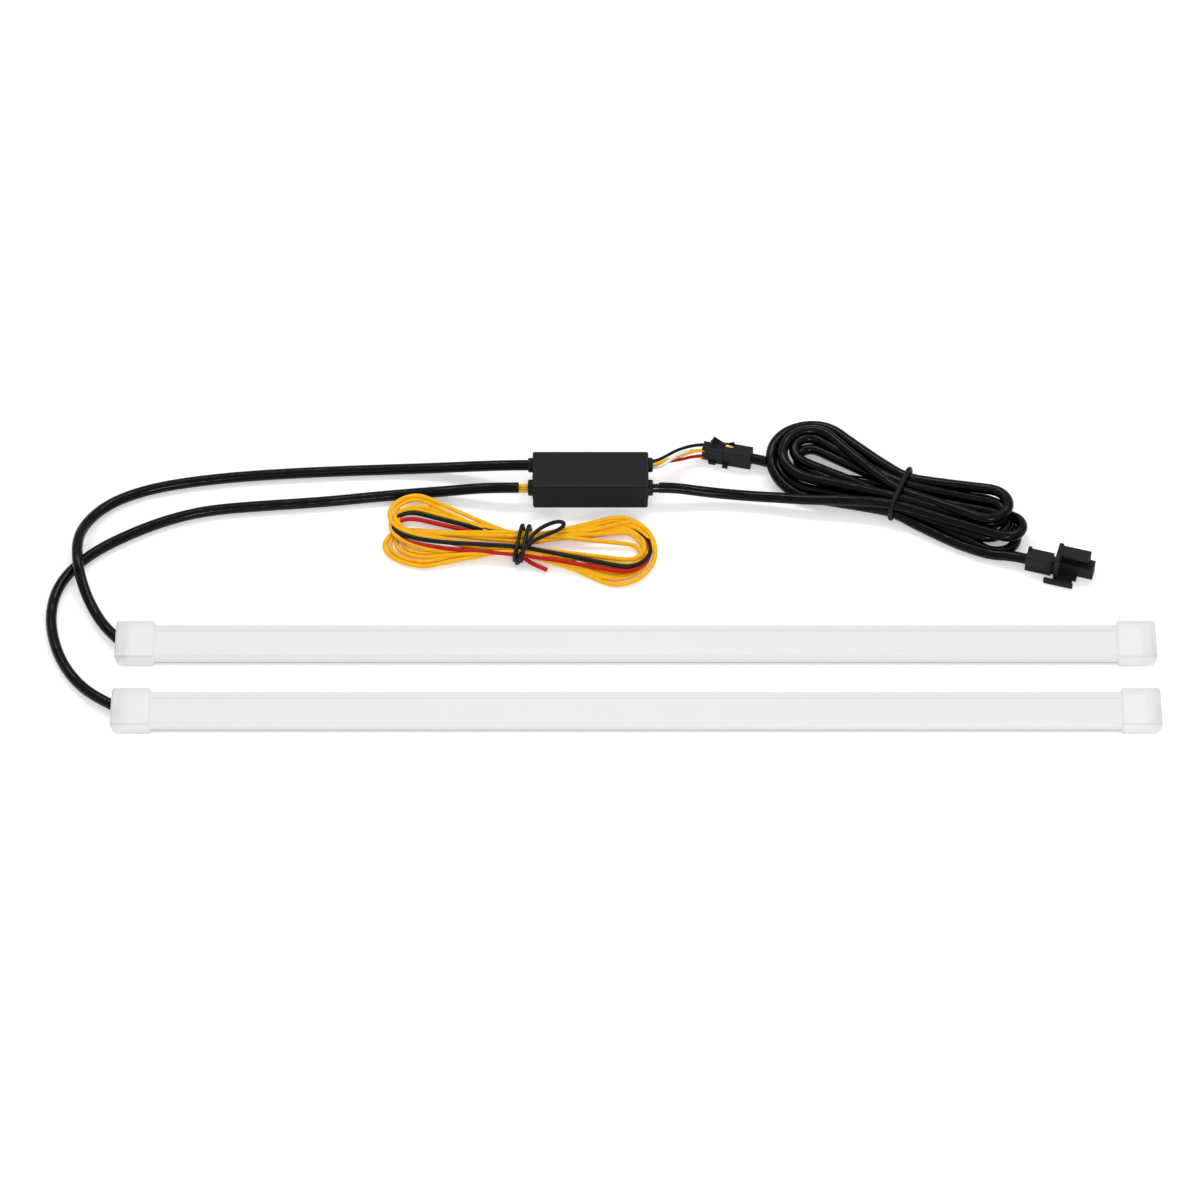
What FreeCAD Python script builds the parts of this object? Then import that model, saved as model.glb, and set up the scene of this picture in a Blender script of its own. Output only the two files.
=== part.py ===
import FreeCAD, Part
import math
import os

V = FreeCAD.Vector
UP = V(0, 0, 1)

# Layout: +X along the strips, +Y away from the front strip, floor at z = 0
strip_length = 450.0
strip_pitch = 36.4
layout_depth = 144.8

# Light strip section
sleeve_width = 17.0
sleeve_height = 5.7
sleeve_side_wall = 2.0
sleeve_roof = 1.8
sleeve_floor = 1.0
sleeve_edge_radius = 0.6
tape_width = 12.0
tape_thickness = 0.8
flex_width = 12.4
flex_thickness = 0.3
led_length = 3.5
led_width = 2.8
led_height = 0.8
led_pitch = 9.0
leds_per_group = 3
resistor_length = 2.0
resistor_width = 1.25
resistor_height = 0.5
led_channel_width = 6.4
inner_clearance = 0.1

# End caps
cap_length = 17.0
cap_wall = 1.2
cap_roof = 1.3
cap_end_wall = 4.5
cap_bow_height = 4.8
cap_bow_depth = 2.0
cap_edge_radius = 0.7
cap_rim_chamfer = 0.8
cap_fit = 0.1
lead_offset = 3.2
rear_lead_angle = 45.0
front_lead_angle = 30.0

# Control box
box_length = 51.2
box_depth = 20.2
box_height = 15.0
box_centre_x = -19.7
box_wall = 1.2
box_split_z = 5.7
box_step = 0.25
box_corner_radius = 1.0
box_top_radius = 0.8
box_rail_height = 1.6
box_rail_thickness = 0.9
box_rail_end = 6.0
box_fit = 0.1
box_tray_wall = 1.9
board_thickness = 1.2
board_gap = 0.6
board_post_height = 2.2
board_post_radius = 1.5
board_post_inset = 2.6

# Parts on the control board
chip_length = 8.7
chip_width = 3.9
chip_height = 1.5
chip_leg_count = 7
chip_leg_pitch = 1.27
chip_leg_width = 0.45
chip_leg_reach = 1.0
chip_leg_height = 0.6
transistor_length = 2.9
transistor_width = 1.5
transistor_height = 1.1
transistor_count = 4
transistor_pitch = 4.5
capacitor_diameter = 6.3
capacitor_height = 6.2
capacitor_bead = 0.4
capacitor_base = 0.8
regulator_length = 6.5
regulator_width = 3.5
regulator_height = 1.6
regulator_tab = 1.2

# Glands in the box ends
gland_spread = 5.7
front_gland_z = 8.8
rear_gland_z = 10.6
pigtail_gland_z = 10.8
gland_flange_thickness = 2.0
gland_large = 7.2
gland_small = 6.6
gland_wall = 0.45
gland_lip = 0.5

# Cables and wires
cable_diameter = 4.8
cable_fit = 0.05
cable_reach_in = 3.0
core_diameter = 1.7
core_count = 3
core_spread = 1.35
left_core_length = 4.0
right_core_length = 2.6
wire_diameter = 1.5
wire_gap = 0.5
pigtail_leave = 6.2
pigtail_arrive = 3.6
pigtail_bow = 1.2
harness_wire_diameter = 2.0

# Connectors
housing_width = 6.3
housing_height = 8.8
contact_row = 1.55
contact_column = 2.1
contact_size = 1.3
contact_fit = 0.1
socket_rear_length = 2.9
socket_collar_length = 6.4
socket_step = 0.7
plug_length = 12.8
latch_fin_height = 3.4
latch_fin_depth = 4.6
plug_fin_height = 2.0
plug_fin_length = 4.6
plug_fin_depth = 0.8
window_length = 3.4
window_inset = 0.7
window_play = 0.35
window_lug_drop = 0.5
scoop_radius = 2.2
scoop_depth = 0.5
scoop_start = 1.5
scoop_length = 2.6
foot_length = 2.8
foot_reach = 1.6
foot_height = 1.8
step_length = 3.2
step_reach = 0.7
pair_x = 30.3
pair_y = 81.8
pair_turn = -12.7
housing_edge = 0.4
free_x = 171.25
free_y = 20.0
free_turn = -16.0
free_rear_length = 11.6
free_flange_at = 13.0
free_flange_thickness = 2.0
free_flange_front = 4.9
free_flange_back = 6.2
free_flange_height = 13.3
free_neck_back = 1.2
free_nose_length = 12.4
free_nose_front = 0.3
free_nose_back = 5.6
free_nose_height = 12.5
free_roof_thickness = 1.4
free_back_wall = 2.4
free_tongue_extra = 2.2
free_tongue_height = 6.7
free_contact_row = 1.4
free_contact_low = 1.9
free_contact_rise = 2.9
free_latch_start = 9.3
free_latch_length = 13.0
free_latch_thickness = 1.7
free_latch_height = 2.2
free_latch_gap = 1.0
free_shelf_end = 21.5
free_shelf_height = 1.6
free_hook_length = 1.5
free_hook_width = 2.9
catch_height = 0.8
catch_length = 2.4
catch_width = 2.9
catch_front = 2.2
lip_height = 0.9
lip_length = 1.6

# Hanks and ties: half lengths and half widths, in each hank's own frame
extension_hank_sizes = {"x": 117.0, "y": 55.0, "turn": -22.0, "waist": 11.6, "height": 10.9, "tie": 2.2,
                        "lobes": {-1: {"at": 42.0, "length": 22.0, "width": 20.5, "shift": 3.5},
                                  1: {"at": 39.0, "length": 21.0, "width": 17.7, "shift": -1.0}},
                        "eye_at": 37.0, "eye_length": 9.8, "eye_width": 3.9}
harness_sizes = {"x": -50.6, "y": 28.4, "turn": -7.0, "waist": 7.4, "height": 7.6, "tie": 1.4,
                 "lobes": {-1: {"at": 39.0, "length": 22.0, "width": 19.4, "shift": 2.6},
                           1: {"at": 39.0, "length": 22.0, "width": 19.6, "shift": 2.5}},
                 "eye_at": 35.0, "eye_length": 15.0, "eye_width": 6.0}
lobe_overlap = 0.35
slim_share = 0.3
slim_flare = 1.12
tie_bend = 2.0
tie_fit = 0.05
rest_gap = 0.3

# Places worked out from the sizes above
half_length = strip_length / 2
cap_width = sleeve_width + 2 * cap_wall
cap_height = tape_thickness + sleeve_height + cap_roof
sleeve_length = strip_length - 2 * cap_end_wall
front_strip_y = -layout_depth / 2 + cap_width / 2
rear_strip_y = front_strip_y + strip_pitch
strip_places = {"front": front_strip_y, "rear": rear_strip_y}
lead_angles = {"front": front_lead_angle, "rear": rear_lead_angle}
lead_z = cap_height / 2
box_y = layout_depth / 2 - box_depth / 2
box_left = box_centre_x - box_length / 2
box_right = box_centre_x + box_length / 2
front_gland_y = box_y - gland_spread
rear_gland_y = box_y + gland_spread
flex_z = tape_thickness + sleeve_floor
chip_z = flex_z + flex_thickness
core_top = tape_thickness + sleeve_height - sleeve_roof
board_z = box_wall + board_post_height
board_top = board_z + board_thickness
tray_inset = box_step + box_tray_wall
board_length = box_length - 2 * (tray_inset + board_gap)
board_width = box_depth - 2 * (tray_inset + board_gap)
contact_z = housing_height / 2


def block(x0, x1, y0, y1, z0, z1):
    """A box given by its limits."""
    return Part.makeBox(x1 - x0, y1 - y0, z1 - z0, V(x0, y0, z0))


def along_edges(shape, direction):
    """Straight edges of a shape that run along one direction."""
    found = []
    for edge in shape.Edges:
        line = edge.Vertexes[-1].Point.sub(edge.Vertexes[0].Point)
        if line.Length > 1e-6 and line.cross(direction).Length < 1e-6 * line.Length:
            found.append(edge)
    return found


def rounded_block(x0, x1, y0, y1, z0, z1, radius, direction):
    """A box whose edges along one direction are rounded."""
    body = block(x0, x1, y0, y1, z0, z1)
    return body.makeFillet(radius, along_edges(body, direction))


def prism(points, depth):
    """A solid swept from a closed outline of points by a depth vector."""
    outline = Part.makePolygon(points + [points[0]])
    return Part.Face(outline).extrude(depth)


def placed(shape, x, y, turn):
    """A part drawn along +X at the origin, turned about Z and moved to its place."""
    moved = shape.copy()
    moved.rotate(V(0, 0, 0), UP, turn)
    moved.translate(V(x, y, 0))
    return moved


def save(name, shape):
    shape.exportStep("parts/" + name + ".step")
    print(name, "solids", len(shape.Solids), "volume", round(shape.Volume, 1))


# Light strips


def light_sleeve(y):
    """Extruded translucent tube with a flat cavity for the circuit and core."""
    x0 = -sleeve_length / 2
    z0 = tape_thickness
    half = sleeve_width / 2
    body = rounded_block(x0, -x0, y - half, y + half, z0, z0 + sleeve_height, sleeve_edge_radius, V(1, 0, 0))
    inner = half - sleeve_side_wall
    cavity = block(x0, -x0, y - inner, y + inner, flex_z, core_top)
    return body.cut(cavity)


def diffuser_core(y):
    """White core over the LEDs, with a channel that clears them."""
    x0 = -sleeve_length / 2
    half = sleeve_width / 2 - sleeve_side_wall - inner_clearance
    body = block(x0, -x0, y - half, y + half, chip_z, core_top)
    channel_half = led_channel_width / 2
    channel_top = chip_z + led_height + inner_clearance
    return body.cut(block(x0, -x0, y - channel_half, y + channel_half, chip_z, channel_top))


def flex_circuit(y):
    x0 = -sleeve_length / 2
    return block(x0, -x0, y - flex_width / 2, y + flex_width / 2, flex_z, chip_z)


def led_row():
    """Places of the LEDs along a strip, clear of the caps."""
    span = sleeve_length - 2 * cap_length
    count = int(span / led_pitch)
    first = -(count - 1) * led_pitch / 2
    return [first + i * led_pitch for i in range(count)]


def chips(places, y, length, width, height):
    """Like chips on the flex circuit, one at each place."""
    bodies = []
    for x in places:
        bodies.append(block(x - length / 2, x + length / 2, y - width / 2, y + width / 2, chip_z,
                            chip_z + height))
    return Part.makeCompound(bodies)


def led_chips(y):
    return chips(led_row(), y, led_length, led_width, led_height)


def chip_resistors(y):
    """One resistor for each group of LEDs, between the first two of the group."""
    places = [x + led_pitch / 2 for x in led_row()[::leds_per_group]]
    return chips(places, y, resistor_length, resistor_width, resistor_height)


def adhesive_tape(y):
    x0 = -half_length + cap_length
    return block(x0, -x0, y - tape_width / 2, y + tape_width / 2, 0, tape_thickness)


def cap_section(x, y, inset):
    """Cross-section of a cap: flat base, rounded top corners, drawn in by an inset."""
    half = cap_width / 2 - inset
    top = cap_height - inset
    r = cap_edge_radius
    s = r * (1 - math.sqrt(0.5))
    low_left = V(x, y - half, 0)
    low_right = V(x, y + half, 0)
    right = V(x, y + half, top - r)
    top_right = V(x, y + half - r, top)
    top_left = V(x, y - half + r, top)
    left = V(x, y - half, top - r)
    edges = [Part.LineSegment(low_left, low_right), Part.LineSegment(low_right, right),
             Part.Arc(right, V(x, y + half - s, top - s), top_right), Part.LineSegment(top_right, top_left),
             Part.Arc(top_left, V(x, y - half + s, top - s), left), Part.LineSegment(left, low_left)]
    return Part.Wire([edge.toShape() for edge in edges])


def cap_body(y):
    """Solid end cap at the -X end: bevelled ends, rounded top edges, bow-shaped under its outer end."""
    x0 = -half_length
    x1 = x0 + cap_length
    bevel = cap_rim_chamfer
    sections = [cap_section(x0, y, bevel), cap_section(x0 + bevel, y, 0), cap_section(x1 - bevel, y, 0),
                cap_section(x1, y, bevel)]
    body = Part.makeLoft(sections, True, True)
    bow = [V(x0, y - cap_width, 0), V(x0 + cap_bow_depth, y - cap_width, 0),
           V(x0, y - cap_width, cap_bow_height)]
    return body.cut(prism(bow, V(0, 2 * cap_width, 0)))


def sleeve_socket(y):
    """The space in a cap that takes the end of a sleeve."""
    x0 = -half_length
    half = sleeve_width / 2 + cap_fit
    top = tape_thickness + sleeve_height + cap_fit
    return block(x0 + cap_end_wall, x0 + cap_length, y - half, y + half, tape_thickness, top)


def lead_line(strip):
    """Exit point of a strip cable on its cap and its direction outwards."""
    angle = math.radians(lead_angles[strip])
    exit_point = V(-half_length, strip_places[strip] + lead_offset, lead_z)
    return exit_point, V(-math.cos(angle), math.sin(angle), 0)


def lead_end_cap(strip):
    y = strip_places[strip]
    exit_point, outwards = lead_line(strip)
    depth = cap_end_wall / -outwards.x
    start = exit_point - outwards * depth
    bore = Part.makeCylinder(cable_diameter / 2 + cable_fit, 3 * depth, start, outwards)
    return cap_body(y).cut(sleeve_socket(y)).cut(bore)


def plain_end_cap(strip):
    y = strip_places[strip]
    cap = cap_body(y).cut(sleeve_socket(y))
    return cap.mirror(V(0, 0, 0), V(1, 0, 0))


# Control box


def box_shell(inset, z0, z1):
    """A block of the box's plan, with rounded upright corners."""
    y0 = box_y - box_depth / 2 + inset
    y1 = box_y + box_depth / 2 - inset
    return rounded_block(box_left + inset, box_right - inset, y0, y1, z0, z1, box_corner_radius, UP)


def gland_places():
    """Name, x of the box end, outward sign, y, z and flange size of each gland."""
    return [("rear_left", box_left, -1, rear_gland_y, rear_gland_z, gland_small),
            ("front_left", box_left, -1, front_gland_y, front_gland_z, gland_large),
            ("rear_right", box_right, 1, rear_gland_y, pigtail_gland_z, gland_small),
            ("front_right", box_right, 1, front_gland_y, front_gland_z, gland_large)]


def gland_holes(name):
    """Offsets and radius of the holes through a gland, one for each cable, wire or core."""
    if name == "rear_left":
        return [(0, 0)], cable_diameter / 2 + cable_fit
    if name == "rear_right":
        return pigtail_offsets(), wire_diameter / 2 + cable_fit
    return core_points(core_count), core_diameter / 2 + cable_fit


def gland_neck_radius(name):
    """The neck keeps a wall of rubber round the outermost hole."""
    offsets, radius = gland_holes(name)
    reach = max(math.hypot(a, b) for a, b in offsets)
    return reach + radius + gland_wall


def box_cover():
    """Deep cover: top and four walls, with a hole for each gland."""
    body = box_shell(0, box_split_z, box_height)
    top = []
    for edge in body.Edges:
        if edge.BoundBox.ZMin > box_height - 1e-6:
            top.append(edge)
    body = body.makeFillet(box_top_radius, top)
    inside = block(box_left + box_wall, box_right - box_wall, box_y - box_depth / 2 + box_wall,
                   box_y + box_depth / 2 - box_wall, box_split_z, box_height - box_wall)
    body = body.cut(inside)
    for name, x, sign, y, z, flange in gland_places():
        start = V(x - sign * 2 * box_wall, y, z)
        body = body.cut(Part.makeCylinder(gland_neck_radius(name), 4 * box_wall, start, V(sign, 0, 0)))
    return body


def locating_rail(side):
    """Rail on a long wall of the tray that stands up inside the cover."""
    outer = box_y + side * (box_depth / 2 - box_wall - box_fit)
    inner = outer - side * box_rail_thickness
    return block(box_left + box_rail_end, box_right - box_rail_end, min(outer, inner), max(outer, inner),
                 box_split_z, box_split_z + box_rail_height)


def box_base():
    """Tray under the cover, a step narrower, with posts for the board."""
    body = box_shell(box_step, 0, box_split_z)
    y0 = box_y - box_depth / 2 + tray_inset
    y1 = box_y + box_depth / 2 - tray_inset
    body = body.cut(block(box_left + tray_inset, box_right - tray_inset, y0, y1, box_wall, box_split_z))
    for side in (-1, 1):
        body = body.fuse(locating_rail(side))
    for dx in (-1, 1):
        for dy in (-1, 1):
            x = box_centre_x + dx * (board_length / 2 - board_post_inset)
            y = box_y + dy * (board_width / 2 - board_post_inset)
            body = body.fuse(Part.makeCylinder(board_post_radius, board_post_height, V(x, y, box_wall)))
    return body.removeSplitter()


def control_board():
    return block(box_centre_x - board_length / 2, box_centre_x + board_length / 2,
                 box_y - board_width / 2, box_y + board_width / 2, board_z, board_top)


def board_places():
    """Centre of each part along the board, in order, with equal gaps between them."""
    lengths = [regulator_length, chip_length, transistor_length, capacitor_diameter]
    gap = (board_length - sum(lengths)) / (len(lengths) + 1)
    places = []
    x = box_centre_x - board_length / 2
    for length in lengths:
        places.append(x + gap + length / 2)
        x += gap + length
    return places


def controller_chip():
    """Moulded chip body with a row of flat legs on each long side."""
    x = board_places()[1]
    z0 = board_top
    body = block(x - chip_length / 2, x + chip_length / 2, box_y - chip_width / 2, box_y + chip_width / 2,
                 z0, z0 + chip_height)
    half = chip_width / 2 + chip_leg_reach
    for i in range(chip_leg_count):
        leg_x = x + (i - (chip_leg_count - 1) / 2) * chip_leg_pitch
        leg = block(leg_x - chip_leg_width / 2, leg_x + chip_leg_width / 2, box_y - half, box_y + half,
                    z0, z0 + chip_leg_height)
        body = body.fuse(leg)
    return body.removeSplitter()


def driver_transistors():
    x = board_places()[2]
    bodies = []
    for i in range(transistor_count):
        y = box_y + (i - (transistor_count - 1) / 2) * min(transistor_pitch, board_width / transistor_count)
        bodies.append(block(x - transistor_length / 2, x + transistor_length / 2, y - transistor_width / 2,
                            y + transistor_width / 2, board_top, board_top + transistor_height))
    return Part.makeCompound(bodies)


def smoothing_capacitor():
    """Round can on a square plastic foot, with a groove near its base."""
    x = board_places()[3]
    r = capacitor_diameter / 2
    z0 = board_top
    foot = block(x - r, x + r, box_y - r, box_y + r, z0, z0 + capacitor_base)
    z1 = z0 + capacitor_base
    z2 = z1 + capacitor_bead
    z3 = z2 + capacitor_bead
    profile = [V(0, 0, z1), V(r, 0, z1), V(r, 0, z2), V(r - capacitor_bead, 0, z2),
               V(r - capacitor_bead, 0, z3), V(r, 0, z3), V(r, 0, z0 + capacitor_height),
               V(0, 0, z0 + capacitor_height)]
    face = Part.Face(Part.makePolygon(profile + [profile[0]]))
    can = face.revolve(V(0, 0, 0), UP, 360)
    can.translate(V(x, box_y, 0))
    return foot.fuse(can)


def voltage_regulator():
    """Flat chip body with a metal tab at its back edge."""
    x = board_places()[0]
    half = regulator_width / 2
    body = block(x - regulator_length / 2, x + regulator_length / 2, box_y - half, box_y + half,
                 board_top, board_top + regulator_height)
    tab = block(x - regulator_length / 4, x + regulator_length / 4, box_y + half,
                box_y + half + regulator_tab, board_top, board_top + regulator_height / 2)
    return body.fuse(tab)


def core_points(count):
    """Offsets of wire centres in a bundle: a ring of equal steps."""
    offsets = []
    for i in range(count):
        angle = 2 * math.pi * i / count + math.pi / 2
        offsets.append((core_spread * math.cos(angle), core_spread * math.sin(angle)))
    return offsets


def pigtail_offsets():
    """Offsets of the four pigtail wires in their gland."""
    step = wire_diameter / 2 + wire_gap / 2
    return [(step, step), (-step, step), (step, -step), (-step, -step)]


def gland(name, x, sign, y, z, flange):
    """Rubber bush: domed flange outside, neck through the wall, lip inside, bored for its wires."""
    neck = gland_neck_radius(name)
    r = flange / 2
    lip_end = -box_wall - gland_lip
    dome = gland_flange_thickness - gland_lip
    profile = [V(lip_end, 0, 0), V(lip_end, neck + gland_lip / 2, 0), V(-box_wall, neck + gland_lip / 2, 0),
               V(-box_wall, neck, 0), V(0, neck, 0), V(0, r, 0), V(dome, r, 0),
               V(gland_flange_thickness, r - gland_lip, 0), V(gland_flange_thickness, 0, 0)]
    face = Part.Face(Part.makePolygon(profile + [profile[0]]))
    body = face.revolve(V(0, 0, 0), V(1, 0, 0), 360)
    reach = 4 * (box_wall + gland_flange_thickness)
    start = -reach / 2
    offsets, radius = gland_holes(name)
    for a, b in offsets:
        body = body.cut(Part.makeCylinder(radius, reach, V(start, a, b), V(1, 0, 0)))
    if sign < 0:
        body = body.mirror(V(0, 0, 0), V(1, 0, 0))
    body.translate(V(x, y, z))
    return body


def bare_cores(x, sign, length):
    """Insulated cores between a jacket's end and the inside of the box."""
    start = x - sign * cable_reach_in
    total = length + gland_flange_thickness + cable_reach_in
    cores = []
    for a, b in core_points(core_count):
        centre = V(start, front_gland_y + a, front_gland_z + b)
        cores.append(Part.makeCylinder(core_diameter / 2, total, centre, V(sign, 0, 0)))
    return Part.makeCompound(cores)


# Cables


def route_wire(points, name):
    """Straight runs joined by tangent arcs as large as the runs allow."""
    edges = []
    radii = []
    last = points[0]
    for before, corner, after in zip(points, points[1:], points[2:]):
        run_in = corner - before
        run_out = after - corner
        cut = 0.45 * min(run_in.Length, run_out.Length)
        into = V(run_in).normalize()
        out = V(run_out).normalize()
        half_turn = into.getAngle(out) / 2
        radius = cut / math.tan(half_turn)
        towards = (out - into).normalize()
        middle = corner + towards * (radius / math.cos(half_turn) - radius)
        first = corner - into * cut
        second = corner + out * cut
        edges.append(Part.LineSegment(last, first).toShape())
        edges.append(Part.Arc(first, middle, second).toShape())
        radii.append(radius)
        last = second
    edges.append(Part.LineSegment(last, points[-1]).toShape())
    wire = Part.Wire(edges)
    print(name, "length", round(wire.Length, 1), "smallest bend radius", round(min(radii), 1))
    return wire


def tube(points, diameter, name):
    """Round cable along a route."""
    wire = route_wire(points, name)
    heading = points[1] - points[0]
    circle = Part.makeCircle(diameter / 2, points[0], heading)
    body = wire.makePipeShell([Part.Wire([circle])], True, False)
    ideal = math.pi * diameter ** 2 / 4 * wire.Length
    print(name, "volume over section times length", round(body.Volume / ideal, 4))
    return body


def lead_start(strip):
    """Inner end of a strip cable in its cap, just short of the sleeve's end."""
    exit_point, outwards = lead_line(strip)
    edge_reach = cable_diameter / 2 * outwards.y
    return exit_point + outwards * ((cap_end_wall - cable_fit - edge_reach) / outwards.x)


def rear_strip_cable():
    """From the rear cap, over the front cable in a low hump, to the rear left gland."""
    exit_point, outwards = lead_line("rear")
    route = [lead_start("rear"), exit_point + outwards * 6, V(-235.5, -8, 3.2), V(-240.5, 3, 5.2),
             V(-243.6, 14, 8.4), V(-244.6, 27, 8.4), V(-242, 39, 5), V(-234.5, 50.5, 2.7), V(-222.5, 58, 2.5),
             V(-206, 63.3, 2.5), V(-182, 67.3, 2.5), V(-157, 69.6, 2.5), V(-131, 71.2, 2.5), V(-107, 72.2, 2.5),
             V(-90, 72.2, 3.4), V(-76.5, 71.1, 5.6), V(-64, 69.3, 8.6),
             V(box_left - 6.4, rear_gland_y, rear_gland_z),
             V(box_left + cable_reach_in, rear_gland_y, rear_gland_z)]
    return tube(route, cable_diameter, "rear_strip_cable")


def front_cable_route():
    """From the front cap, round under the rear cable, to the cores at the front left gland."""
    exit_point, outwards = lead_line("front")
    jacket_end = box_left - gland_flange_thickness - left_core_length
    return [lead_start("front"), exit_point + outwards * 7, V(-240, -47.5, 2.5), V(-247.5, -36.5, 2.5),
            V(-252.5, -23, 2.5), V(-254.5, -9, 2.5), V(-252.5, 5, 2.5), V(-246, 16.5, 2.5), V(-236, 26.5, 2.5),
            V(-222, 35.5, 2.5), V(-206, 43.5, 2.5), V(-188, 49, 2.5), V(-163, 51.5, 2.5), V(-138, 53.5, 2.5),
            V(-114, 56.6, 2.5), V(-96, 58.4, 2.7), V(-82, 58.5, 4.2), V(-71, 57.7, 6.8),
            V(jacket_end - 9, front_gland_y, front_gland_z), V(jacket_end, front_gland_y, front_gland_z)]


def box_lead():
    """Second lead of the box, from the cores at the front right gland into the hank."""
    jacket_end = box_right + gland_flange_thickness + right_core_length
    route = [V(jacket_end, front_gland_y, front_gland_z), V(jacket_end + 7, front_gland_y, front_gland_z),
             V(28, 56.3, 6.8), V(41, 55.6, 5.4), V(53, 54.4, 5.4), V(65, 52.9, 6.2), V(76, 51.8, 6.8)]
    return tube(route, cable_diameter, "box_lead")


def pair_point(along, across, height):
    """A point of the mated pair's own frame in the layout."""
    turn = math.radians(pair_turn)
    x = pair_x + along * math.cos(turn) - across * math.sin(turn)
    y = pair_y + along * math.sin(turn) + across * math.cos(turn)
    return V(x, y, height)


def free_point(along, across, height):
    """A point of the free connector's own frame in the layout."""
    turn = math.radians(free_turn)
    x = free_x + along * math.cos(turn) - across * math.sin(turn)
    y = free_y + along * math.sin(turn) + across * math.cos(turn)
    return V(x, y, height)


def extension_lead_start():
    """From the mated pair into the hank."""
    length = socket_rear_length + socket_collar_length + plug_length
    route = [pair_point(length - cable_reach_in, 0, contact_z), pair_point(length + 7, 0, contact_z),
             V(70.5, 71.6, 4.2)]
    return tube(route, cable_diameter, "extension_lead_start")


def extension_lead_end():
    """Out of the hank to the free connector."""
    route = [V(145, 26.4, 3), V(154, 25.2, 3.2), free_point(-7, 0, contact_z),
             free_point(cable_reach_in, 0, contact_z)]
    return tube(route, cable_diameter, "extension_lead_end")


def pigtail_wires():
    """Four wires from the rear right gland down to the socket, in a loose twist."""
    wires = {}
    columns = [(contact_row, contact_column), (-contact_row, contact_column),
               (contact_row, -contact_column), (-contact_row, -contact_column)]
    for name, at_gland, at_socket in zip(("black", "yellow", "white", "red"), pigtail_offsets(), columns):
        a, b = at_gland
        across, rise = at_socket
        y0 = rear_gland_y + a
        z0 = pigtail_gland_z + b
        leaving = V(box_right + pigtail_leave, y0, z0)
        arriving = pair_point(-pigtail_arrive, across, contact_z + rise)
        apart = math.copysign(wire_gap, across)
        middle = (leaving + arriving) * 0.5 + V(-apart, pigtail_bow + apart, 0)
        route = [V(box_right - cable_reach_in, y0, z0), leaving, middle, arriving,
                 pair_point(socket_rear_length, across, contact_z + rise)]
        wires["pigtail_" + name] = tube(route, wire_diameter, "pigtail_" + name)
    return wires


# Hanks and ties


def lobe_outline(side, sizes):
    """Solid of one lobe of a tied hank: a round end that narrows to the tie."""
    own = sizes["lobes"][side]
    shift = own["shift"]
    ellipse = Part.Ellipse(V(0, 0, 0), own["length"], own["width"])
    lobe = Part.Face(Part.Wire([ellipse.toShape()]))
    lobe.translate(V(side * own["at"], shift, 0))
    inner = side * (own["at"] - lobe_overlap * own["length"])
    wide = math.sqrt(1 - lobe_overlap ** 2) * own["width"]
    slim = side * slim_share * own["at"]
    slim_width = sizes["waist"] * slim_flare
    corners = [V(0, -sizes["waist"], 0), V(slim, -slim_width, 0), V(inner, shift - wide, 0),
               V(inner, shift + wide, 0), V(slim, slim_width, 0), V(0, sizes["waist"], 0)]
    rise = V(0, 0, sizes["height"])
    return [lobe.extrude(rise), prism(corners, rise)]


def tie_slot(sizes):
    """Everything outside a tie's inner outline, over the tie's own width along the hank."""
    tie = sizes["tie"]
    seat = tie + 2 * tie_fit
    around = 2 * sizes["waist"]
    slot = block(-seat / 2, seat / 2, -around, around, 0, 2 * sizes["height"])
    kept = rounded_block(-seat / 2, seat / 2, -sizes["waist"], sizes["waist"], seat, sizes["height"],
                         tie_bend * tie - tie / 2, V(1, 0, 0))
    return slot.cut(kept)


def hank(sizes):
    """Closed solid of a hank's outer shape, with an open eye in each lobe and a seat for its tie."""
    solids = lobe_outline(-1, sizes) + lobe_outline(1, sizes)
    body = solids[0].fuse(solids[1:]).removeSplitter()
    for side in (-1, 1):
        eye = Part.Ellipse(V(0, 0, 0), sizes["eye_length"], sizes["eye_width"])
        hole = Part.Face(Part.Wire([eye.toShape()])).extrude(V(0, 0, sizes["height"]))
        hole.translate(V(side * sizes["eye_at"], sizes["lobes"][side]["shift"], 0))
        body = body.cut(hole)
    return body.cut(tie_slot(sizes))


def tie_ring(sizes):
    """Round tie bent into a closed ring about the waist of a hank."""
    diameter = sizes["tie"]
    r = diameter / 2
    half = sizes["waist"] + r + tie_fit
    low = r + tie_fit
    high = sizes["height"] + r + tie_fit
    plate = rounded_block(0, diameter, -half, half, low, high, tie_bend * diameter, V(1, 0, 0))
    path = [face for face in plate.Faces if face.BoundBox.XMax < 1e-6][0].OuterWire
    start = path.Edges[0].Vertexes[0].Point
    heading = path.Edges[0].tangentAt(path.Edges[0].FirstParameter)
    circle = Part.makeCircle(r, start, heading)
    return path.makePipeShell([Part.Wire([circle])], True, False)


def on_hank(shape, sizes):
    return placed(shape, sizes["x"], sizes["y"], sizes["turn"])


def harness_hank():
    """The supply harness: its left lobe lies over the front strip cable."""
    body = on_hank(hank(harness_sizes), harness_sizes)
    under = tube(front_cable_route(), cable_diameter + 2 * rest_gap, "room for the cable below")
    return body.cut(under)


def red_tail():
    """Cut end of the harness's red wire, beside the tie."""
    route = [V(-49, 21.6, 3.2), V(-44.6, 18.4, 2.4), V(-38.6, 16.2, 1.4)]
    return tube(route, harness_wire_diameter, "red_tail")


# Connectors


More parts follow.
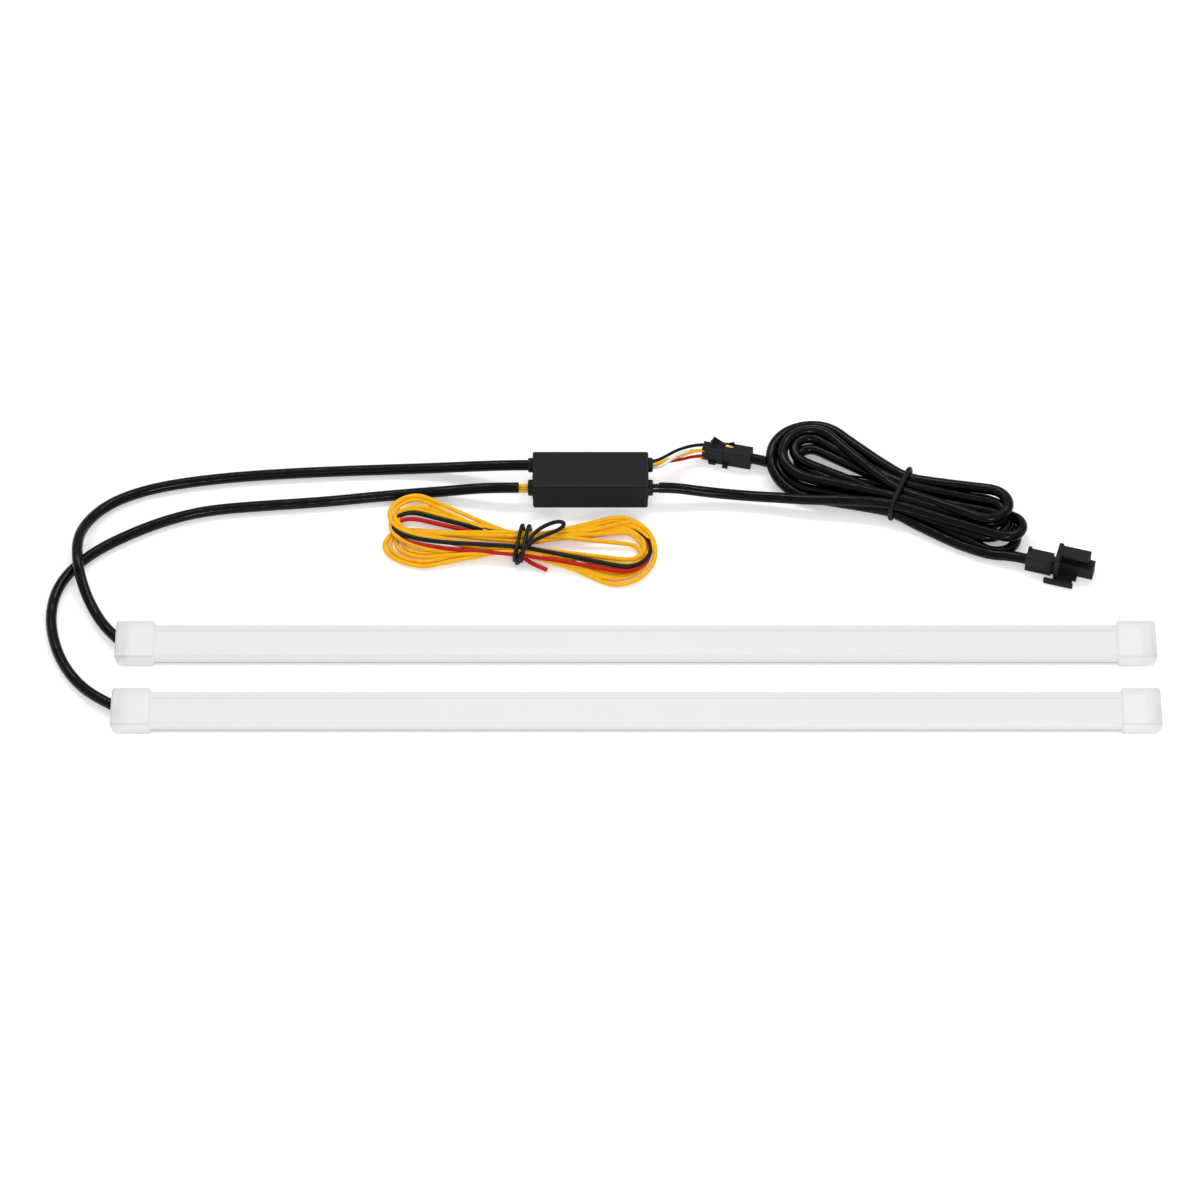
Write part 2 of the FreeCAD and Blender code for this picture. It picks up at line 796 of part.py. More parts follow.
def ramp(x0, x1, front, back, z, peak_x, peak):
    """A finger ramp: a pyramid on a flat top, with its peak above the back edge."""
    base = [V(x0, front, z), V(x1, front, z), V(x1, back, z), V(x0, back, z)]
    tip = V(peak_x, back, z + peak)
    faces = [Part.Face(Part.makePolygon(base + [base[0]]))]
    for number, corner in enumerate(base):
        following = base[(number + 1) % len(base)]
        faces.append(Part.Face(Part.makePolygon([corner, following, tip, corner])))
    return Part.Solid(Part.Shell(faces))


def contact_places():
    return [(across, contact_z + rise) for across in (-contact_row, contact_row)
            for rise in (-contact_column, contact_column)]


def contact_bars(x0, x1, size, places):
    """Square bars along a connector, one at each place (across, z)."""
    half = size / 2
    return [block(x0, x1, across - half, across + half, z - half, z + half) for across, z in places]


def socket_half():
    """Pigtail half: rear section with wire bores, wider collar with a finger fin and a stepped foot."""
    half = housing_width / 2
    x1 = socket_rear_length
    x2 = x1 + socket_collar_length
    rear = rounded_block(0, x1, -half + socket_step, half - socket_step, socket_step,
                         housing_height - socket_step, housing_edge, V(1, 0, 0))
    collar = rounded_block(x1, x2, -half, half, 0, housing_height, housing_edge, V(1, 0, 0))
    top = housing_height - housing_edge
    back = half - housing_edge
    fin = ramp(x1, x2, back - latch_fin_depth, back, top, x1 + socket_collar_length / 4, latch_fin_height)
    step = block(x1 + housing_edge, x1 + housing_edge + step_length, -half - step_reach,
                 -half + housing_edge, 0, foot_height)
    body = rear.fuse([collar, fin, step])
    scoop_place = V(x1 + scoop_start, 0, housing_height + scoop_radius - scoop_depth)
    scoop = Part.makeCylinder(scoop_radius, scoop_length, scoop_place, V(1, 0, 0))
    body = body.cut(scoop)
    for bar in contact_bars(x1 - contact_fit, x2, contact_size + contact_fit, contact_places()):
        body = body.cut(bar)
    for across, z in contact_places():
        bore = Part.makeCylinder(wire_diameter / 2 + cable_fit, x1, V(0, across, z), V(1, 0, 0))
        body = body.cut(bore)
    return placed(body, pair_x, pair_y, pair_turn)


def window_room(play, top):
    """Room above one contact, through the plug's top, in the plug's window."""
    x0 = socket_rear_length + socket_collar_length + window_inset
    half = contact_size / 2 + play
    return block(x0 - play, x0 + window_length + play, contact_row - half, contact_row + half,
                 contact_z + contact_column, top)


def plug_half():
    """Extension half: long body with a latch ramp, a contact window, a foot and a cable bore."""
    half = housing_width / 2
    x0 = socket_rear_length + socket_collar_length
    x1 = x0 + plug_length
    top = housing_height
    body = rounded_block(x0, x1, -half, half, 0, top, housing_edge, V(1, 0, 0))
    back = half - housing_edge
    fin = ramp(x0 + housing_edge, x0 + plug_fin_length, back - plug_fin_depth, back, top - housing_edge,
               x0 + plug_fin_length - housing_edge, plug_fin_height)
    foot = block(x0 + housing_edge, x0 + foot_length, -half - foot_reach, -half + housing_edge, 0,
                 foot_height)
    groove = block(x0, x0 + housing_edge, -half, half, 0, top)
    groove = groove.cut(block(x0, x0 + housing_edge, -half + housing_edge, half - housing_edge,
                              housing_edge, top - housing_edge))
    body = body.cut(groove).fuse([fin, foot])
    body = body.cut(window_room(window_play, 2 * top))
    for bar in contact_bars(x0, x1 - cable_reach_in, contact_size + contact_fit, contact_places()):
        body = body.cut(bar)
    bore_place = V(x1 - cable_reach_in, 0, contact_z)
    bore = Part.makeCylinder(cable_diameter / 2 + cable_fit, cable_reach_in, bore_place, V(1, 0, 0))
    return placed(body.cut(bore), pair_x, pair_y, pair_turn)


def pair_contacts():
    length = socket_rear_length + socket_collar_length + plug_length
    bars = contact_bars(socket_rear_length, length - cable_reach_in, contact_size, contact_places())
    lug = window_room(0, housing_height - window_lug_drop)
    bars = [bar.fuse(lug).removeSplitter() if bar.distToShape(lug)[0] < 1e-6 else bar for bar in bars]
    return placed(Part.makeCompound(bars), pair_x, pair_y, pair_turn)


def free_contact_places():
    middle = (free_nose_back - free_nose_front) / 2
    return [(middle + across, z) for across in (-free_contact_row, free_contact_row)
            for z in (free_contact_low, free_contact_low + free_contact_rise)]


def free_nose():
    """Mating end of the free connector: a tongue that holds the contacts, a back wall and a thin roof."""
    x0 = free_flange_at + free_flange_thickness
    x1 = x0 + free_nose_length
    tongue = rounded_block(x0, x1 + free_tongue_extra, -free_nose_front, free_nose_back, 0,
                           free_tongue_height, housing_edge, V(1, 0, 0))
    wall = rounded_block(x0, x1, free_nose_back - free_back_wall, free_nose_back, housing_edge,
                         free_nose_height, housing_edge, V(1, 0, 0))
    roof = rounded_block(x0, x1, -free_nose_front, free_nose_back, free_nose_height - free_roof_thickness,
                         free_nose_height, housing_edge, V(1, 0, 0))
    return tongue.fuse([wall, roof])


def free_latch():
    """Finger lever of the free connector: a plate before the body, on a shelf with a small hook."""
    inner = -free_flange_front - free_latch_gap
    plate = rounded_block(free_latch_start, free_latch_start + free_latch_length,
                          inner - free_latch_thickness, inner, 0,
                          free_latch_height, housing_edge, UP)
    shelf = block(free_flange_at, free_shelf_end, inner - housing_edge, 0, 0, free_shelf_height)
    hook = block(free_shelf_end, free_shelf_end + free_hook_length, -free_nose_front - free_hook_width,
                 -free_nose_front + housing_edge, 0, free_latch_height)
    return plate.fuse([shelf, hook])


def free_housing():
    """Free connector: rear body, flange plate, mating nose, finger lever and cable bore."""
    half = housing_width / 2
    top = housing_height
    flange_end = free_flange_at + free_flange_thickness
    nose_end = flange_end + free_nose_length + free_tongue_extra
    rear = rounded_block(0, free_rear_length, -half, half, 0, top, housing_edge, V(1, 0, 0))
    lip = block(0, lip_length, half - lip_length, half, top - housing_edge, top + lip_height)
    neck = block(free_rear_length, free_flange_at, -half + socket_step, free_neck_back, socket_step,
                 top - socket_step)
    catch = block(free_flange_at - catch_length, free_flange_at, -catch_front, -catch_front + catch_width,
                  top - 2 * socket_step, top + catch_height)
    flange = rounded_block(free_flange_at, flange_end, -free_flange_front, free_flange_back, 0,
                           free_flange_height, 2 * housing_edge, V(1, 0, 0))
    body = rear.fuse([lip, neck, catch, flange, free_nose(), free_latch()])
    for bar in contact_bars(free_flange_at, nose_end, contact_size + contact_fit, free_contact_places()):
        body = body.cut(bar)
    bore = Part.makeCylinder(cable_diameter / 2 + cable_fit, cable_reach_in, V(0, 0, contact_z), V(1, 0, 0))
    return placed(body.cut(bore).removeSplitter(), free_x, free_y, free_turn)


def free_contacts():
    nose_end = free_flange_at + free_flange_thickness + free_nose_length
    bars = contact_bars(free_flange_at, nose_end, contact_size, free_contact_places())
    return placed(Part.makeCompound(bars), free_x, free_y, free_turn)


def build():
    os.makedirs("parts", exist_ok=True)
    for strip, y in strip_places.items():
        save(strip + "_light_sleeve", light_sleeve(y))
        save(strip + "_diffuser_core", diffuser_core(y))
        save(strip + "_flex_circuit", flex_circuit(y))
        save(strip + "_led_chips", led_chips(y))
        save(strip + "_chip_resistors", chip_resistors(y))
        save(strip + "_adhesive_tape", adhesive_tape(y))
        save(strip + "_lead_end_cap", lead_end_cap(strip))
        save(strip + "_plain_end_cap", plain_end_cap(strip))
    save("box_cover", box_cover())
    save("box_base", box_base())
    save("control_board", control_board())
    save("controller_chip", controller_chip())
    save("driver_transistors", driver_transistors())
    save("smoothing_capacitor", smoothing_capacitor())
    save("voltage_regulator", voltage_regulator())
    for place in gland_places():
        save("gland_" + place[0], gland(*place))
    save("front_left_cores", bare_cores(box_left, -1, left_core_length))
    save("front_right_cores", bare_cores(box_right, 1, right_core_length))
    save("rear_strip_cable", rear_strip_cable())
    save("front_strip_cable", tube(front_cable_route(), cable_diameter, "front_strip_cable"))
    coil = on_hank(hank(extension_hank_sizes), extension_hank_sizes)
    save("extension_hank", coil)
    save("extension_hank_tie", on_hank(tie_ring(extension_hank_sizes), extension_hank_sizes))
    save("box_lead", box_lead().cut(coil))
    save("extension_lead_start", extension_lead_start().cut(coil))
    save("extension_lead_end", extension_lead_end().cut(coil))
    for name, wire in pigtail_wires().items():
        save(name, wire)
    save("pigtail_socket", socket_half())
    save("extension_plug", plug_half())
    save("pair_contacts", pair_contacts())
    save("free_connector", free_housing())
    save("free_contacts", free_contacts())
    bundle = harness_hank()
    save("harness_hank", bundle)
    save("harness_tie", on_hank(tie_ring(harness_sizes), harness_sizes))
    save("red_tail", red_tail().cut(bundle))


build()
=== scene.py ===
# %% [markdown]
# Two flexible light strips, their control box and their wiring, laid out on a pale table.
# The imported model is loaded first, as a fixed frame in metres. Rigid pieces such as the box and the
# connectors keep their own solids and get finishes here. Cables and wires get smooth curves of their own,
# because a cable is a fixed length of something flexible and its plain solid can't show that.

# %% Load the frame
import math
import random

import bpy
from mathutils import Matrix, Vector


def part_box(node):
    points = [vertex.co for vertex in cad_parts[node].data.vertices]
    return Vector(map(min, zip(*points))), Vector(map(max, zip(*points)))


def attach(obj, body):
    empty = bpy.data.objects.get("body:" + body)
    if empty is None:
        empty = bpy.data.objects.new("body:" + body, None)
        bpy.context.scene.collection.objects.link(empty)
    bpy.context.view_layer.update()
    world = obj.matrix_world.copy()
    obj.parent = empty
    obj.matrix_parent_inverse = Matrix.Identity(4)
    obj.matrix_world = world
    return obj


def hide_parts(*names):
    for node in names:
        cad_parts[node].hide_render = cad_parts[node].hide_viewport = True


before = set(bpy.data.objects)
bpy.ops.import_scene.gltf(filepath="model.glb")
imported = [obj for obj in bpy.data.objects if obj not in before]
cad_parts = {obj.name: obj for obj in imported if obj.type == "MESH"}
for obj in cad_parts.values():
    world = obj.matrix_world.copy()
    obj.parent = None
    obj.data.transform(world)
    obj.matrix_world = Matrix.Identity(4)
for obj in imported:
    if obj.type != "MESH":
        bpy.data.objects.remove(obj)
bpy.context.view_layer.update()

MM = 0.001
scene = bpy.context.scene

# %% [markdown]
# The camera stands where the photographer's did. All verticals and both strips are nearly parallel in the
# picture, so the lens is long and far away. The height above the table is read from how flat the box's
# top looks. A long lens could also be an orthographic camera, but a little perspective remains in the strips.

# %% Camera
camera_elevation = math.radians(52)
camera_distance = 2.4135
camera_target = Vector((-0.0155, 0.0006, 0))
film_width_mm = 36
lens_mm = 166
camera_data = bpy.data.cameras.new("camera")
camera_data.sensor_width = film_width_mm
camera_data.lens = lens_mm
camera = bpy.data.objects.new("camera", camera_data)
scene.collection.objects.link(camera)
backwards = Vector((0, -math.cos(camera_elevation), math.sin(camera_elevation)))
camera.location = camera_target + backwards * camera_distance
camera.rotation_euler = (math.pi / 2 - camera_elevation, 0, 0)
scene.camera = camera
print("camera at", [round(v, 3) for v in camera.location])

# %% [markdown]
# Every finish below is a small node tree. These helpers save typing: one adds a node with its values, one
# makes a material with its main shader, and one gives a surface fine grain. Grain uses the object's own
# coordinates, in metres, so a scale of 2000 means detail about half a millimetre across.

# %% Helpers for materials


def add_node(tree, kind, **values):
    """Adds a node; values are its properties or its input sockets."""
    node = tree.nodes.new(kind)
    for name, value in values.items():
        if hasattr(node, name):
            setattr(node, name, value)
        else:
            node.inputs[name.replace("_", " ")].default_value = value
    return node


def new_finish(name, **sockets):
    """A material with a Principled shader whose sockets are set by name."""
    material = bpy.data.materials.new(name)
    material.use_nodes = True
    shader = material.node_tree.nodes["Principled BSDF"]
    for socket, value in sockets.items():
        shader.inputs[socket.replace("_", " ")].default_value = value
    return material, material.node_tree, shader


def grain(tree, scale, detail=3.0):
    """Noise in the object's own metres."""
    place = add_node(tree, "ShaderNodeTexCoord")
    noise = add_node(tree, "ShaderNodeTexNoise", Scale=scale, Detail=detail)
    tree.links.new(place.outputs["Object"], noise.inputs["Vector"])
    return noise


def vary(tree, noise, shader, socket, low, high):
    """Drives a shader socket between two values by a noise."""
    span = add_node(tree, "ShaderNodeMapRange")
    span.inputs["To Min"].default_value = low
    span.inputs["To Max"].default_value = high
    tree.links.new(noise.outputs["Fac"], span.inputs["Value"])
    tree.links.new(span.outputs["Result"], shader.inputs[socket])


def tint(tree, noise, shader, dark, light):
    """Colours a surface between two shades by a noise, whose values lie mostly between 0.3 and 0.7."""
    ramp = add_node(tree, "ShaderNodeValToRGB")
    for stop, share, colour in zip(ramp.color_ramp.elements, (0.3, 0.7), (dark, light)):
        stop.position = share
        stop.color = (*colour, 1)
    tree.links.new(noise.outputs["Fac"], ramp.inputs["Fac"])
    tree.links.new(ramp.outputs["Color"], shader.inputs["Base Color"])


def bump(tree, noise, shader, height, strength=1.0):
    """Raises a surface by a noise, height in metres."""
    node = add_node(tree, "ShaderNodeBump", Strength=strength, Distance=height)
    tree.links.new(noise.outputs["Fac"], node.inputs["Height"])
    tree.links.new(node.outputs["Normal"], shader.inputs["Normal"])


print("material helpers ready")

# %% [markdown]
# The table is one large pale sheet, a single square face. Its own colour is near white. A little glow that
# only camera, mirror and glass rays see lifts it to paper white, so the objects get no extra light from it
# and their contact shadows stay. A brighter lamp would also whiten it, but would wash out the strips.

# %% Floor
half_floor = 30.0
floor_drop = 0.0001
paper_colour = (0.9, 0.9, 0.9, 1)
paper_glow = 0.34
floor_corners = [(-half_floor, -half_floor, 0), (half_floor, -half_floor, 0), (half_floor, half_floor, 0),
                 (-half_floor, half_floor, 0)]
floor_mesh = bpy.data.meshes.new("floor")
floor_mesh.from_pydata(floor_corners, [], [(0, 1, 2, 3)])
floor = bpy.data.objects.new("floor", floor_mesh)
floor.location.z = -floor_drop
scene.collection.objects.link(floor)


def seen_background(tree):
    """1 for rays that look at the background: camera, mirror and glass rays."""
    path = add_node(tree, "ShaderNodeLightPath")
    first = add_node(tree, "ShaderNodeMath", operation="MAXIMUM")
    second = add_node(tree, "ShaderNodeMath", operation="MAXIMUM")
    tree.links.new(path.outputs["Is Camera Ray"], first.inputs[0])
    tree.links.new(path.outputs["Is Glossy Ray"], first.inputs[1])
    tree.links.new(first.outputs["Value"], second.inputs[0])
    tree.links.new(path.outputs["Is Transmission Ray"], second.inputs[1])
    return second.outputs["Value"]


def paper_floor():
    """Matt paper that also glows a little, for the rays that look at the background."""
    material = bpy.data.materials.new("paper_floor")
    material.use_nodes = True
    tree = material.node_tree
    tree.nodes.clear()
    paper = add_node(tree, "ShaderNodeBsdfDiffuse", Color=paper_colour)
    glow = add_node(tree, "ShaderNodeEmission")
    share = add_node(tree, "ShaderNodeMath", operation="MULTIPLY")
    share.inputs[1].default_value = paper_glow
    tree.links.new(seen_background(tree), share.inputs[0])
    tree.links.new(share.outputs["Value"], glow.inputs["Strength"])
    both = add_node(tree, "ShaderNodeAddShader")
    tree.links.new(paper.outputs["BSDF"], both.inputs[0])
    tree.links.new(glow.outputs["Emission"], both.inputs[1])
    output = add_node(tree, "ShaderNodeOutputMaterial")
    tree.links.new(both.outputs["Shader"], output.inputs["Surface"])
    return material


floor_mesh.materials.append(paper_floor())
print("floor side m", 2 * half_floor)

# %% [markdown]
# In a studio, soft light comes from all round, and harder light from a few lamps behind cloth. A white sky
# gives the first; camera rays see it at full white. Four square area lamps give the second: three behind,
# whose reflections run along the tops of the cables, and one in front for the near faces.

# %% Sky and lamps
world = bpy.data.worlds.new("studio")
scene.world = world
world.use_nodes = True
sky_strength = 0.64
sky = world.node_tree.nodes["Background"]
sky.inputs["Color"].default_value = (1, 1, 1, 1)
whiter = add_node(world.node_tree, "ShaderNodeMapRange")
whiter.inputs["To Min"].default_value = sky_strength
whiter.inputs["To Max"].default_value = 1.0
camera_ray = add_node(world.node_tree, "ShaderNodeLightPath")
world.node_tree.links.new(camera_ray.outputs["Is Camera Ray"], whiter.inputs["Value"])
world.node_tree.links.new(whiter.outputs["Result"], sky.inputs["Strength"])


def softbox(name, place, aim, size, watts):
    """A square area lamp that faces a point."""
    data = bpy.data.lights.new(name, "AREA")
    data.size = size
    data.energy = watts
    lamp = bpy.data.objects.new(name, data)
    lamp.location = place
    lamp.rotation_euler = (Vector(aim) - Vector(place)).to_track_quat("-Z", "Y").to_euler()
    scene.collection.objects.link(lamp)


lamp_aim = (0, 0, 0)
back_size = 0.22
back_watts = 2.6
for number, place_x in enumerate((-0.55, -0.05, 0.45)):
    softbox(f"back_softbox_{number}", (place_x, 0.7, 1.3), lamp_aim, back_size, back_watts)
front_size = 0.25
front_watts = 4.6
softbox("front_softbox", (0.25, -1.25, 0.8), lamp_aim, front_size, front_watts)
scene.view_settings.view_transform = "Standard"
print("lamps:", [lamp.name for lamp in bpy.data.lights])

# %% [markdown]
# Cable jackets are soft black plastic, pushed out through a round die. They are smooth and a little glossy,
# with faint waves from the die. The base colour is close to black, and what the eye reads as the cable is
# mostly the soft reflection along its top. Wire insulation is the same plastic in bright colours.

# %% Jacket and wire finishes


def jacket_finish():
    """Black cable plastic: fine grain in colour and gloss, and low waves from the die."""
    material, tree, shader = new_finish("cable_jacket", Specular_IOR_Level=0.15)
    noise = grain(tree, 260)
    tint(tree, noise, shader, (0.0005, 0.0005, 0.0006), (0.0014, 0.0014, 0.0015))
    vary(tree, noise, shader, "Roughness", 0.15, 0.28)
    bump(tree, grain(tree, 130, 1.0), shader, 0.0012, 0.3)
    return material


def wire_finish(name, dark, light, roughness):
    """Wire insulation between two near shades of one colour."""
    material, tree, shader = new_finish(name, Specular_IOR_Level=0.2)
    noise = grain(tree, 320)
    tint(tree, noise, shader, dark, light)
    vary(tree, noise, shader, "Roughness", roughness - 0.06, roughness + 0.08)
    bump(tree, grain(tree, 700), shader, 0.00006, 0.3)
    return material


jacket = jacket_finish()
wire_yellow = wire_finish("wire_yellow", (0.9, 0.43, 0.002), (0.97, 0.52, 0.004), 0.42)
wire_black = wire_finish("wire_black", (0.004, 0.005, 0.006), (0.008, 0.009, 0.010), 0.34)
wire_red = wire_finish("wire_red", (0.46, 0.006, 0.005), (0.58, 0.010, 0.008), 0.38)
wire_white = wire_finish("wire_white", (0.82, 0.82, 0.825), (0.88, 0.88, 0.88), 0.36)
print("jacket and wires:", [m.name for m in (jacket, wire_yellow, wire_black, wire_red, wire_white)])

# %% [markdown]
# A cable is one NURBS curve with a round bevel. The two strip cables use the control points of the model's
# own tubes, so both lie in the same place. The other cables have the same ends as their tubes and run more
# freely between them. A curve of order 3 passes smoothly inside the corners. Order and end clamp are set
# after the points are added, because Blender limits the order to the number of points that exist then.

# %% Helper for cables
cable_diameter = 4.8
cable_fineness = 6


def cable(name, points, diameter, finish):
    """A round cable along control points given in millimetres."""
    curve = bpy.data.curves.new(name, "CURVE")
    curve.dimensions = "3D"
    curve.bevel_depth = diameter * MM / 2
    curve.bevel_resolution = cable_fineness
    curve.resolution_u = cable_fineness
    curve.use_fill_caps = True
    spline = curve.splines.new("NURBS")
    spline.points.add(len(points) - 1)
    for control, point in zip(spline.points, points):
        control.co = (point[0] * MM, point[1] * MM, point[2] * MM, 1)
    spline.order_u = 3
    spline.use_endpoint_u = True
    curve.materials.append(finish)
    piece = bpy.data.objects.new(name, curve)
    scene.collection.objects.link(piece)
    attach(piece, "root")
    print(name, "control points", len(points), "length mm", round(spline.calc_length() / MM, 1))
    return piece


print("cable diameter mm", cable_diameter)

# %% [markdown]
# Each strip's cable leaves its end cap at a slant, loops out to the left and runs along the table to the
# control box. The rear strip's cable climbs over the front strip's in one low hump. Both climb gently to
# the box, whose glands stand above the table. The points are in millimetres, chosen along the photo's
# cables, and are the same as those of the model's own tubes. The front cable's jacket stops short of the box,
# and its bare cores run on.

# %% Strip cables
cap_face_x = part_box("front_lead_end_cap")[0].x / MM
lead_offset = 3.2
lead_z = 3.9
rear_slant = 45
front_slant = 30


def strip_centre(strip):
    low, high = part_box(strip + "_light_sleeve")
    return (low.y + high.y) / 2 / MM


def cap_exit(strip, slant, distance):
    """A point on the line by which a cable leaves its cap; a positive distance is outwards."""
    turn = math.radians(slant)
    exit_y = strip_centre(strip) + lead_offset
    return (cap_face_x - distance * math.cos(turn), exit_y + distance * math.sin(turn), lead_z)


box_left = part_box("box_cover")[0].x / MM
box_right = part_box("box_cover")[1].x / MM
gland_flange = 2.0


def gland_centre(name):
    """Where a gland's axis lies, as (y, z)."""
    low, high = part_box(name)
    return (low.y + high.y) / 2 / MM, (low.z + high.z) / 2 / MM


rear_gland = gland_centre("gland_rear_left")
rear_route = [cap_exit("rear", rear_slant, -3.9), cap_exit("rear", rear_slant, 6),
              (-235.5, -8, 3.2), (-240.5, 3, 5.2),
              (-243.6, 14, 8.4), (-244.6, 27, 8.4), (-242, 39, 5), (-234.5, 50.5, 2.7), (-222.5, 58, 2.5),
              (-206, 63.3, 2.5), (-182, 67.3, 2.5), (-157, 69.6, 2.5), (-131, 71.2, 2.5), (-107, 72.2, 2.5),
              (-90, 72.2, 3.4), (-76.5, 71.1, 5.6), (-64, 69.3, 8.6), (box_left - 6.4, *rear_gland),
              (box_left + 3, *rear_gland)]
rear_cable = cable("rear_cable", rear_route, cable_diameter, jacket)
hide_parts("rear_strip_cable")

front_gland = gland_centre("gland_front_left")
left_core_length = 4.0
jacket_end = box_left - gland_flange - left_core_length
front_route = [cap_exit("front", front_slant, -3.75), cap_exit("front", front_slant, 7),
               (-240, -47.5, 2.5), (-247.5, -36.5, 2.5),
               (-252.5, -23, 2.5), (-254.5, -9, 2.5), (-252.5, 5, 2.5), (-246, 16.5, 2.5), (-236, 26.5, 2.5),
               (-222, 35.5, 2.5), (-206, 43.5, 2.5), (-188, 49, 2.5), (-163, 51.5, 2.5), (-138, 53.5, 2.5),
               (-114, 56.6, 2.5), (-96, 58.4, 2.7), (-82, 58.5, 4.2), (-71, 57.7, 6.8),
               (jacket_end - 9, *front_gland), (jacket_end, *front_gland)]
front_cable = cable("front_cable", front_route, cable_diameter, jacket)
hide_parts("front_strip_cable")

# %% [markdown]
# A hank is a cable folded to and fro and tied in the middle, like a bow. Every pass has its own place in the
# tie, and every loop its own reach and width, because loose turns never lie exactly alike. A loop is an
# ellipse end with straight legs to the tie. One function makes the points of any loop, in the hank's own
# frame: u along the bow, w across it, z up.

# %% Helper for hanks
LEFT = -1
RIGHT = 1
leg_places = (0.4, 0.75, 1.0)
leg_ease = 1.15
widest_gap = 0.26
gap_step = 0.8
round_steps = 6
longest_round = 0.5


def loop_points(side, reach, first, second, heights, start, finish, swell=(1.1, 1.1)):
    """Points from one place in the tie round one end of the bow to another place in the tie.

    first and second are how far out, across the bow, the loop swings on its way out and back. heights are
    the loop's z on the way out, at its end and on the way back. start and finish are (w, z) in the tie.
    swell is how long the rounded end is on the way out and back, in half widths of the loop.
    """
    middle = (first + second) / 2
    half = (first - second) / 2
    round_out, round_back = (min(abs(half) * share, longest_round * reach) for share in swell)
    out, end, back = heights

    def leg(round_length, slot, swing, height):
        """Points of one leg, from the tie outwards.

        The last leaves a gap before the rounded end: gap_step half widths of the loop, or widest_gap of the
        leg at most.
        """
        straight = reach - round_length
        last = 1 - min(widest_gap, gap_step * abs(half) / straight)
        leg_points = []
        for place in leg_places:
            share = place * last
            across = slot[0] + (swing - slot[0]) * share ** leg_ease
            leg_points.append((side * share * straight, across, slot[1] + (height - slot[1]) * share))
        return leg_points

    points = leg(round_out, start, first, out)
    turning_point = round_steps // 2
    for step in range(round_steps + 1):
        angle = math.pi * (0.5 - step / round_steps)
        if step <= turning_point:
            round_length = round_out
            rise = out + (end - out) * step / turning_point
        else:
            round_length = round_back
            rise = end + (back - end) * (step - turning_point) / turning_point
        along_bow = side * (reach - round_length * (1 - math.cos(angle)))
        points.append((along_bow, middle + half * math.sin(angle), rise))
    points += reversed(leg(round_back, finish, second, back))
    return points


def placed(point, origin, turn):
    """A point of a piece's own frame, in the layout's frame."""
    u, w, z = point
    angle = math.radians(turn)
    x = origin[0] + u * math.cos(angle) - w * math.sin(angle)
    y = origin[1] + u * math.sin(angle) + w * math.cos(angle)
    return (x, y, z)


def in_layout(points, origin, turn):
    return [placed(point, origin, turn) for point in points]


def through_tie(slot):
    return (0, slot[0], slot[1])


print("points in one loop:", 2 * len(leg_places) + round_steps + 1)

# %% [markdown]
# The extension lead starts at the mated connectors, goes through the tie eleven times and comes out
# towards the free connector. Thirteen strands pass the tie, six below, five above and two between; two of
# them belong to the box's second lead. Where loops cross, one is given a greater height than the other. So
# many strands hardly fit through a tie as narrow as the photo's, so inside the hank, out of sight, neighbours
# run into each other. Each loop's row says its side, its reach, how far it swings on the way out and back,
# and its three heights, all in millimetres.

# %% Extension lead
hank_centre = (117.0, 55.0)
hank_turn = -22.0
lower_step = 3.7
lower_z = 4.6
upper_step = 3.9
upper_z = 8.4
lower_row = [(lower_step * (place - 2.5), lower_z) for place in range(6)]
upper_row = [(upper_step * (place - 2), upper_z) for place in range(5)]
between_row = [(-7.4, 6.5), (3.7, 6.4)]
passes = [lower_row[4], lower_row[1], lower_row[5], between_row[0], between_row[1], lower_row[2],
          upper_row[3], upper_row[1], upper_row[2], upper_row[4], lower_row[0]]
lead_loops = [(RIGHT, 55.6, 5.0, -12.8, (2.6, 2.5, 2.5)),
              (LEFT, 58.8, -10.8, 19.4, (3.2, 4.2, 4.0)),
              (RIGHT, 50.0, 9.6, -8.6, (3.4, 5.4, 5.2)),
              (LEFT, 50.0, -1.0, 10.8, (4.4, 5.0, 5.2)),
              (RIGHT, 45.5, 12.2, -4.0, (5.4, 5.2, 5.4)),
              (LEFT, 52.8, 0.6, 14.8, (6.6, 7.8, 7.6)),
              (RIGHT, 47.2, 10.0, -2.4, (7.8, 7.6, 8.0)),
              (LEFT, 57.2, -8.4, 18.2, (8.2, 9.2, 10.2)),
              (RIGHT, 48.2, -3.4, 14.0, (11.4, 12.2, 11.2)),
              (LEFT, 62.0, 22.2, -15.0, (8.8, 8.0, 2.6))]
pair_start = (30.3, 81.8)
pair_turn = -12.7
free_start = (171.25, 20.0)
free_turn = -16.0


def pair_point(distance, across, height):
    """A point of the mated connectors' own frame, which starts at the pigtail's end."""
    return placed((distance, across, height), pair_start, pair_turn)


def free_point(distance, across, height):
    """A point of the free connector's own frame, which starts at its cable end."""
    return placed((distance, across, height), free_start, free_turn)


contact_z = 4.4
pair_length = 22.1
coil = [(-49, -2.4, 2.5), (-33, 0.2, 2.5), (-15, 3.2, 3.6), through_tie(passes[0])]
for number, (side, reach, first, second, heights) in enumerate(lead_loops):
    coil += loop_points(side, reach, first, second, heights, passes[number], passes[number + 1])
    coil.append(through_tie(passes[number + 1]))
coil += [(10, -10.9, 3.4), (20, -12.5, 3.0), (31, -14.2, 2.9), (41, -14.9, 3.0), (49, -14.4, 3.0)]
lead_route = [pair_point(pair_length - 3, 0, contact_z), pair_point(pair_length + 7, 0, contact_z)]
lead_route += in_layout(coil, hank_centre, hank_turn)
lead_route += [free_point(-7, 0, contact_z), free_point(3, 0, contact_z)]
extension_lead = cable("extension_lead", lead_route, cable_diameter, jacket)
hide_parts("extension_hank", "extension_lead_start", "extension_lead_end")

